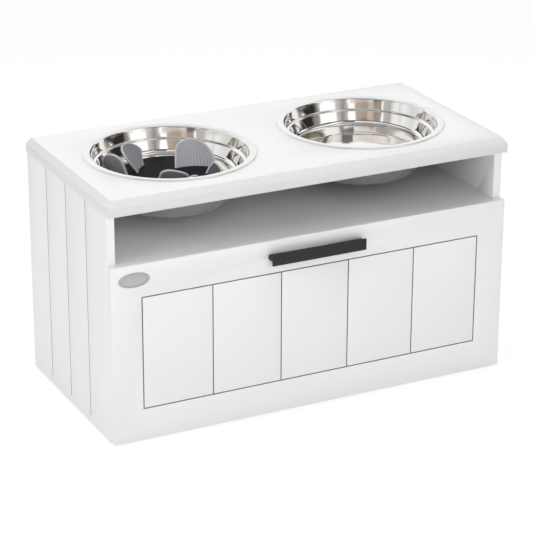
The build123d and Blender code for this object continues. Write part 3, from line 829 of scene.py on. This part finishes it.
# Across the room, from -1 at its left to 1 at its right: lamps, beams and bare ceiling seen from below.
ceiling_stops = [
    (-1.0, 0.8, 0.0), (-0.68, 0.85, 0.0), (-0.62, 1.25, 0.0), (-0.58, 0.7, 0.05), (-0.46, 0.5, 0.05),
    (-0.34, 0.55, 0.1), (-0.31, 0.6, 0.0), (-0.3, 1.3, 0.0), (-0.285, 0.5, 0.1), (-0.24, 0.24, 0.15),
    (-0.15, 0.5, 0.2), (-0.06, 0.24, 0.2), (0.0, 0.42, 0.3), (0.08, 0.6, 0.15), (0.12, 1.3, 0.0),
    (0.26, 1.3, 0.0), (0.3, 0.5, 0.1), (0.37, 0.36, 0.2), (0.41, 1.2, 0.0), (0.56, 1.3, 0.0),
    (0.6, 0.45, 0.1), (0.63, 0.1, 0.3), (0.66, 0.35, 0.3), (0.8, 0.8, 0.0),
]
# The ceiling on the near side, in the same order.
near_ceiling_stops = [
    (-1.0, 1.0, 0.0), (-0.62, 0.95, 0.1), (-0.5, 1.15, 0.1), (-0.32, 1.0, 0.12), (-0.1, 0.95, 0.12),
    (0.05, 1.1, 0.08), (0.1, 1.1, 0.0), (0.13, 0.25, 0.0), (0.33, 0.2, 0.0), (0.38, 0.9, 0.0),
    (0.5, 1.1, 0.0), (0.6, 0.7, 0.1), (0.69, 0.5, 0.1), (0.74, 1.1, 0.0), (1.0, 1.0, 0.0),
]
# The walls a little above the horizon, in the same order.
wall_middle_stops = [
    (-1.0, 0.8, 0.0), (-0.93, 1.05, 0.0), (-0.905, 0.85, 0.0), (-0.85, 1.05, 0.0), (-0.79, 0.95, 0.0),
    (-0.74, 0.5, 0.0), (-0.6, 0.6, 0.05), (-0.585, 1.25, 0.0), (-0.565, 1.25, 0.0), (-0.545, 0.4, 0.1),
    (-0.48, 0.42, 0.25), (-0.4, 0.35, 0.2), (-0.36, 0.62, 0.3), (-0.25, 0.66, 0.25), (-0.2, 0.42, 0.25),
    (-0.02, 0.5, 0.3), (0.09, 0.55, 0.25), (0.12, 1.3, 0.0), (0.25, 1.3, 0.0), (0.29, 0.58, 0.1),
    (0.36, 0.5, 0.15), (0.42, 0.32, 0.15), (0.5, 0.55, 0.15), (0.57, 0.7, 0.05), (0.6, 1.3, 0.0),
    (0.86, 1.3, 0.0), (0.9, 0.4, 0.1), (0.93, 0.25, 0.1), (0.955, 0.03, 0.2), (1.0, 0.03, 0.2),
]
# The walls near the floor, in the same order.
wall_stops = [
    (-1.0, 0.75, 0.05), (-0.75, 0.6, 0.1), (-0.68, 0.75, 0.05), (-0.58, 0.3, 0.1), (-0.5, 0.13, 0.0),
    (-0.4, 0.2, 0.0), (-0.33, 0.85, 0.1), (-0.1, 0.65, 0.12), (0.1, 0.72, 0.1), (0.2, 0.8, 0.0),
    (0.25, 1.3, 0.0), (0.3, 1.0, 0.0), (0.34, 0.55, 0.05), (0.4, 0.38, 0.1), (0.5, 0.6, 0.1),
    (0.62, 0.8, 0.0), (0.7, 1.2, 0.0), (0.8, 1.1, 0.0), (0.85, 0.45, 0.15), (0.93, 0.3, 0.3),
    (1.0, 0.6, 0.1),
]
# The band between the near walls and the ceiling, in the same order.
band_stops = [(-1.0, 1.1, 0.0), (0.45, 1.1, 0.0), (0.48, 0.05, 0.2), (0.68, 0.04, 0.2), (0.71, 1.1, 0.0)]
# A beam across the ceiling: how far away it is, and how much light it leaves.
beam_stops = [(0.0, 1.0), (0.42, 1.0), (0.5, 0.3), (0.6, 0.3), (0.68, 1.0)]
cornice_grey = (0.05, 0.048, 0.045, 1.0)
zenith_grey = (0.42, 0.416, 0.408, 1.0)
room_turn = radians(26.6)  # the room stands at this angle to the feeder
# Where the parts of the room meet, each as the start and end of a soft edge: first by how far away,
# from -1 behind the viewer to 1 ahead of them, then by height, from 0 at eye level to 1 overhead.
near_side = (0.4, 0.3)
near_ceiling = (-0.3, -0.42)
near_wall_top = (0.48, 0.44)
far_ceiling_rise = (0.55, 0.68)
near_ceiling_rise = (0.60, 0.65)
zenith_rise = (0.92, 0.96)


def across_the_room(world, place, stops):
    """The colours of a list of stops whose places run from -1 to 1."""
    return ramp(world, place, [((1 + at) / 2, warm(level, warmth)) for at, level, warmth in stops])


def step(world, value, start, end):
    """0 before start, 1 after end, smooth between."""
    smooth = {"interpolation_type": "SMOOTHSTEP"}
    node = add(world, "ShaderNodeMapRange", smooth, Value=value, From_Min=start, From_Max=end)
    return node.outputs["Result"]


def studio_world():
    """Even light from all round: a bright band above eye level, and a ceiling and walls with lamps,
    beams and bare stretches that polished metal picks up."""
    world = bpy.data.worlds.new("studio")
    bpy.context.scene.world = world
    world.use_nodes = True
    where = add(world, "ShaderNodeTexCoord").outputs["Generated"]
    height = add(world, "ShaderNodeSeparateXYZ", Vector=where).outputs["Z"]
    right = (cos(room_turn), -sin(room_turn), 0.0)
    away = (sin(room_turn), cos(room_turn), 0.0)
    across = vector_maths(world, "DOT_PRODUCT", where, right, "Value")
    along = vector_maths(world, "DOT_PRODUCT", where, away, "Value")
    path = add(world, "ShaderNodeLightPath").outputs
    # Nothing in the room is quite straight.
    uneven = add(world, "ShaderNodeTexNoise", Vector=where, Scale=5.0, Detail=3.0).outputs["Fac"]
    sway = maths(world, "MULTIPLY_ADD", uneven, 0.10, -0.05)
    swayed = maths(world, "ADD", across, sway)
    place = add(world, "ShaderNodeMapRange", Value=swayed, From_Min=-1.0, From_Max=1.0).outputs["Result"]
    near = step(world, along, *near_side)

    # The near walls. The upper edge of their lowest stretch sinks from behind the viewer to the sides.
    edge = maths(world, "ADD", maths(world, "MULTIPLY_ADD", along, 0.17, -0.065), height)
    low_wall = across_the_room(world, place, wall_stops)
    middle_wall = across_the_room(world, place, wall_middle_stops)
    walls = mixed(world, step(world, edge, -0.02, 0.02), low_wall, middle_wall)
    on_wall = maths(world, "MULTIPLY", step(world, height, *near_wall_top), near)

    # The band over them: to metal, a dark cornice on the near side.
    cornice = maths(world, "MULTIPLY", near, path["Is Glossy Ray"])
    band = mixed(world, cornice, across_the_room(world, place, band_stops), cornice_grey)

    # The ceiling, crossed by a beam, with its own lamps on the near side and plain grey straight above.
    beam = ramp(world, along, [(at, warm(level)) for at, level in beam_stops])
    ceiling = mixed(world, 1.0, across_the_room(world, place, ceiling_stops), beam, "MULTIPLY")
    front = step(world, along, *near_ceiling)
    ceiling = mixed(world, front, ceiling, across_the_room(world, place, near_ceiling_stops))
    zenith = maths(world, "MULTIPLY", step(world, height, *zenith_rise), path["Is Glossy Ray"])
    ceiling = mixed(world, zenith, ceiling, zenith_grey)
    rises = {"i2": step(world, height, *far_ceiling_rise), "i3": step(world, height, *near_ceiling_rise)}
    overhead = add(world, "ShaderNodeMix", {"data_type": "FLOAT"}, i0=near, **rises).outputs[0]

    room = mixed(world, on_wall, mixed(world, overhead, band, ceiling), walls)
    lit = world.node_tree.nodes["Background"]
    link(world, room, lit.inputs["Color"])
    # The lamps light the object as well, so the room alone is dimmer than metal shows it.
    link(world, maths(world, "MULTIPLY_ADD", path["Is Glossy Ray"], 0.4, 0.6), lit.inputs["Strength"])
    plain = add(world, "ShaderNodeBackground", Color=(1.0, 1.0, 1.0, 1.0), Strength=1.0)
    seen = {"Fac": path["Is Camera Ray"], "i1": lit.outputs[0], "i2": plain.outputs[0]}
    both = add(world, "ShaderNodeMixShader", **seen)
    link(world, both.outputs[0], world.node_tree.nodes["World Output"].inputs["Surface"])


def softbox(name, place, target, size, power):
    """A square studio lamp that looks at a target, and that metal doesn't show."""
    lamp = bpy.data.lights.new(name, "AREA")
    lamp.shape = "SQUARE"
    lamp.size = size
    lamp.energy = power
    made = bpy.data.objects.new(name, lamp)
    bpy.context.scene.collection.objects.link(made)
    made.location = place
    made.rotation_euler = (Vector(target) - Vector(place)).to_track_quat("-Z", "Y").to_euler()
    made.visible_glossy = False


def studio_camera():
    """A long lens at the front left, above the feeder."""
    lens = bpy.data.cameras.new("camera")
    lens.lens = 149.42
    lens.sensor_width = 36.0
    lens.clip_end = 60.0
    made = bpy.data.objects.new("camera", lens)
    bpy.context.scene.collection.objects.link(made)
    made.location = (-1.303004, -2.594341, 1.324306)
    made.rotation_euler = (radians(68.0801), radians(-0.1818), radians(-26.5328))
    bpy.context.scene.camera = made


studio_floor()
studio_world()
softbox("overhead_softbox", (0.2, 0.3, 2.6), (0, 0, 0.3), size=2.2, power=37.0)
softbox("front_softbox", (-0.5, -2.9, 1.0), (0.05, 0, 0.12), size=1.8, power=31.5)
softbox("left_softbox", (-2.8, -0.6, 1.6), (0, 0, 0.15), size=1.6, power=27.5)
studio_camera()
bpy.context.scene.view_settings.view_transform = "Standard"
